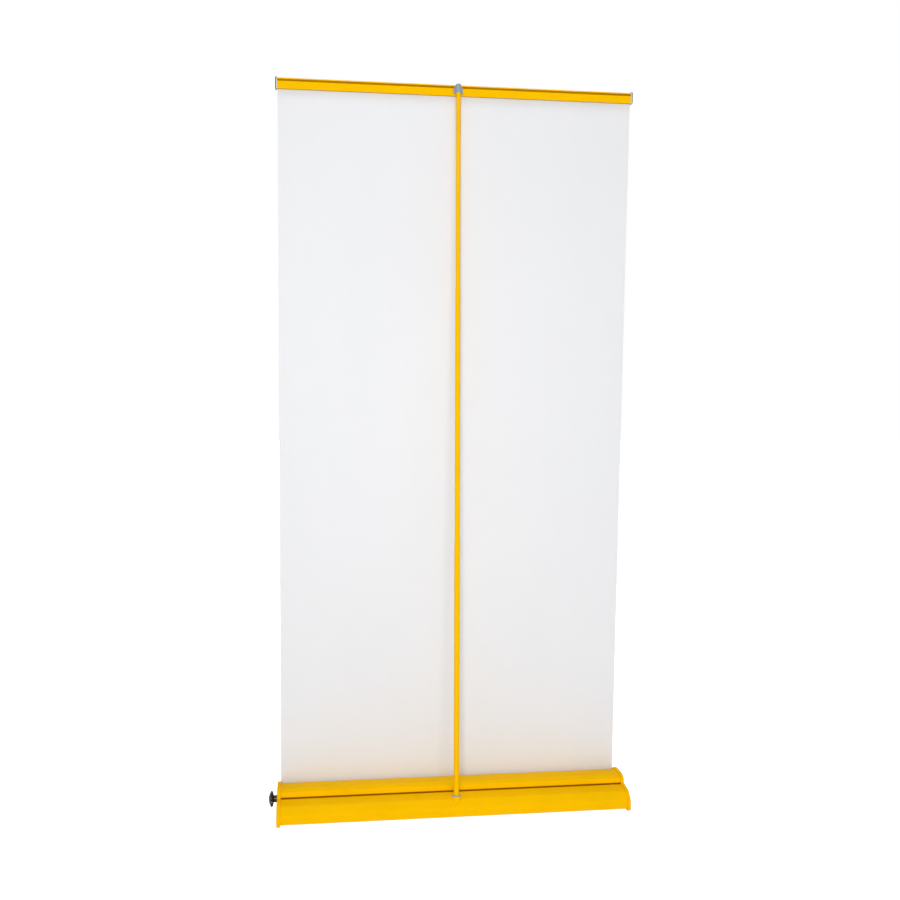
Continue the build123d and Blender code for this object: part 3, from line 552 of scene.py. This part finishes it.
def sheet_line():
    """Middle of the hanging sheet in Y and Z, from foot to hem; upright in and under the rail's jaws."""
    foot = (sheet_high.y - SHEET_THICK / 2, sheet_low.z)
    hem = (sheet_low.y + SHEET_THICK / 2, sheet_high.z)
    mouth, bend = JAW_HOLD
    held = hem[0] + mouth * math.tan(sheet_lean)
    return [foot, (held, hem[1] - bend), (held, hem[1] - mouth), hem]


def line_y(line, z):
    """Y of a line at one height."""
    for (y0, z0), (y1, z1) in zip(line, line[1:]):
        if z <= z1:
            return y0 + (y1 - y0) * (z - z0) / (z1 - z0)
    return line[-1][0]


def make_curtain(material):
    """The hanging sheet, taut between the guide rod and the rail."""
    line = sheet_line()
    low, bend = line[0][1], line[1][1]
    heights = [low + (bend - low) * j / ROWS for j in range(ROWS + 1)] + [line[2][1], line[3][1]]
    grids = ([], [])
    for z in heights:
        v = (z - sheet_low.z) / sheet_tall
        rows = ([], [])
        for i in range(COLUMNS + 1):
            u = -1 + 2 * i / COLUMNS
            x = sheet_mid_x + u * sheet_half
            y = line_y(line, z) + ripple(u, v)
            rows[0].append((x, y - SHEET_THICK / 2, z))
            rows[1].append((x, y + SHEET_THICK / 2, z))
        grids[0].append(rows[0])
        grids[1].append(rows[1])
    curtain = place("curtain_sheet", closed_sheet(*grids), material, "base", "sheet")
    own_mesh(curtain)


def strip_along(path):
    """Thin sheet body whose section in Y and Z follows a path, as wide as the curtain."""
    sides = ([], [])
    for k, (y, z) in enumerate(path):
        before = path[max(k - 1, 0)]
        after = path[min(k + 1, len(path) - 1)]
        along = Vector((after[0] - before[0], after[1] - before[1])).normalized()
        for side, rows in zip((-0.5, 0.5), sides):
            dy = side * SHEET_THICK * along.y
            dz = -side * SHEET_THICK * along.x
            shares = (2 * i / STRIP_COLUMNS - 1 for i in range(STRIP_COLUMNS + 1))
            rows.append([(sheet_mid_x + sheet_half * share, y + dy, z + dz) for share in shares])
    return closed_sheet(*sides)


def middle_of(node):
    """Y, Z and half the height of a round node along X."""
    low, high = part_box(node)
    return (low.y + high.y) / 2, (low.z + high.z) / 2, (high.z - low.z) / 2


def make_tail(material):
    """The run of sheet from the roller, over the guide rod, to the curtain's foot."""
    ry, rz, wrap_r = middle_of("sheet_wraps")
    gy, gz, rod_r = middle_of("guide_rod")
    wrap_r += WRAP_GAP + SHEET_THICK / 2
    rod_r += GUIDE_GAP + SHEET_THICK / 2
    span = math.dist((ry, rz), (gy, gz))
    first = math.atan2(gz - rz, gy - ry) - math.acos((wrap_r - rod_r) / span)
    start = (ry + wrap_r * math.cos(first), rz + wrap_r * math.sin(first))
    path = [start]
    for k in range(TAIL_STEPS + 1):
        angle = first + (sheet_lean - first) * k / TAIL_STEPS
        path.append((gy + rod_r * math.cos(angle), gz + rod_r * math.sin(angle)))
    foot = sheet_high.y - SHEET_THICK / 2
    path.append((foot, sheet_low.z - TAIL_GAP))
    tail = place("curtain_tail", strip_along(path), material, "base", "sheet_tail")


def make_wraps(material):
    """The turn of sheet that stays on the roller."""
    ry, rz, _ = middle_of("sheet_wraps")
    _, _, tube_r = middle_of("roller_tube")
    path = []
    for k in range(WRAP_STEPS + 1):
        angle = math.radians(WRAP_FROM + WRAP_SWEEP * k / WRAP_STEPS)
        radius = tube_r + SHEET_THICK / 2 + WRAP_CLEAR + k / WRAP_STEPS * WRAP_CREEP
        path.append((ry + radius * math.cos(angle), rz + radius * math.sin(angle)))
    wraps = place("curtain_wraps", strip_along(path), material, "roller", "sheet_wraps")


# Brush and spring

CARRIER_TALL = 7.0 * MM
TUFT_PITCH = 1.6 * MM
TUFT_ROWS = (0.55 * MM, 1.05 * MM)      # from the strip's near face
TUFT_FIRST = 0.75           # of a pitch, from the strip's end
TUFT_STAGGER = 0.5          # of a pitch, from row to row
TUFT_R = 0.42 * MM
TUFT_ROOT = 0.3 * MM        # how deep it sits in the carrier
TUFT_TAPER = 0.45           # its tip's width against its foot's
TUFT_LEAN_X = (-0.7, 0.7)   # the tip's offsets, in mm
TUFT_LEAN_Y = (-0.25, 0.35)
TUFT_SHORT = (0.0, 1.2)
TUFT_SEED = 7


def add_box(builder, low, high):
    """Closed box between two corners."""
    xs, ys, zs = zip(low, high)
    corners = [builder.verts.new((x, y, z)) for x in xs for y in ys for z in zs]
    for face in ((0, 1, 3, 2), (4, 6, 7, 5), (0, 4, 5, 1), (2, 3, 7, 6), (0, 2, 6, 4), (1, 5, 7, 3)):
        builder.faces.new([corners[i] for i in face])


def make_brush(material):
    """Carrier strip with two rows of leaning tufts."""
    chance = random.Random(TUFT_SEED)
    low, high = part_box("slot_brush")
    builder = bmesh.new()
    add_box(builder, low, (high.x, high.y, low.z + CARRIER_TALL))
    root = low.z + CARRIER_TALL - TUFT_ROOT
    count = int((high.x - low.x) / TUFT_PITCH) - 1
    for row, inset in enumerate(TUFT_ROWS):
        y = low.y + inset
        for i in range(count):
            x = low.x + (i + TUFT_FIRST + TUFT_STAGGER * row) * TUFT_PITCH
            tip_x = x + chance.uniform(*TUFT_LEAN_X) * MM
            tip_y = y + chance.uniform(*TUFT_LEAN_Y) * MM
            tip = Vector((tip_x, tip_y, high.z - chance.uniform(*TUFT_SHORT) * MM))
            foot = []
            for k in range(4):
                angle = math.radians(90 * k + 45)
                corner = (x + TUFT_R * math.cos(angle), y + TUFT_R * math.sin(angle), root)
                foot.append(builder.verts.new(corner))
            head = [builder.verts.new(tip + TUFT_TAPER * (v.co - Vector((x, y, v.co.z)))) for v in foot]
            builder.faces.new(foot)
            builder.faces.new(head)
            for k in range(4):
                builder.faces.new((foot[k], foot[(k + 1) % 4], head[(k + 1) % 4], head[k]))
    place("slot_pile", builder, material, "base", "slot_brush", smooth=False)


SPRING_TURNS = 40
SPRING_WIRE_R = 1.4 * MM
SPRING_INSET = 1.5 * MM     # from the spring's outer radius to its wire's middle
SPRING_STEPS = 20           # per turn
WIRE_SIDES = 8


def make_spring(material):
    """Torsion spring as one wound wire."""
    low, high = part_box("torsion_spring")
    cy, cz, outer = middle_of("torsion_spring")
    mean_r = outer - SPRING_INSET
    length = high.x - low.x - 2 * SPRING_WIRE_R
    centres = []
    total = SPRING_TURNS * SPRING_STEPS
    for k in range(total + 1):
        angle = 2 * math.pi * k / SPRING_STEPS
        x = low.x + SPRING_WIRE_R + length * k / total
        centres.append(Vector((x, cy + mean_r * math.cos(angle), cz + mean_r * math.sin(angle))))
    builder = bmesh.new()
    rings = []
    for k, centre in enumerate(centres):
        along = (centres[min(k + 1, total)] - centres[max(k - 1, 0)]).normalized()
        outward = Vector((0, centre.y - cy, centre.z - cz)).normalized()
        across = along.cross(outward).normalized()
        ring = []
        for i in range(WIRE_SIDES):
            angle = 2 * math.pi * i / WIRE_SIDES
            away = math.cos(angle) * outward + math.sin(angle) * across
            ring.append(builder.verts.new(centre + SPRING_WIRE_R * away))
        rings.append(ring)
    for one, other in zip(rings, rings[1:]):
        for i in range(WIRE_SIDES):
            after = (i + 1) % WIRE_SIDES
            builder.faces.new((one[i], one[after], other[after], other[i]))
    builder.faces.new(rings[0])
    builder.faces.new(rings[-1])
    place("spring_coil", builder, material, "base", "torsion_spring")


make_camera()
make_studio()
steel = paint_frame()
cloth = sheet_material("sheet_fabric")
make_curtain(cloth)
make_tail(cloth)
make_wraps(cloth)
make_brush(rubber_material("brush_pile", PILE))
make_spring(steel)
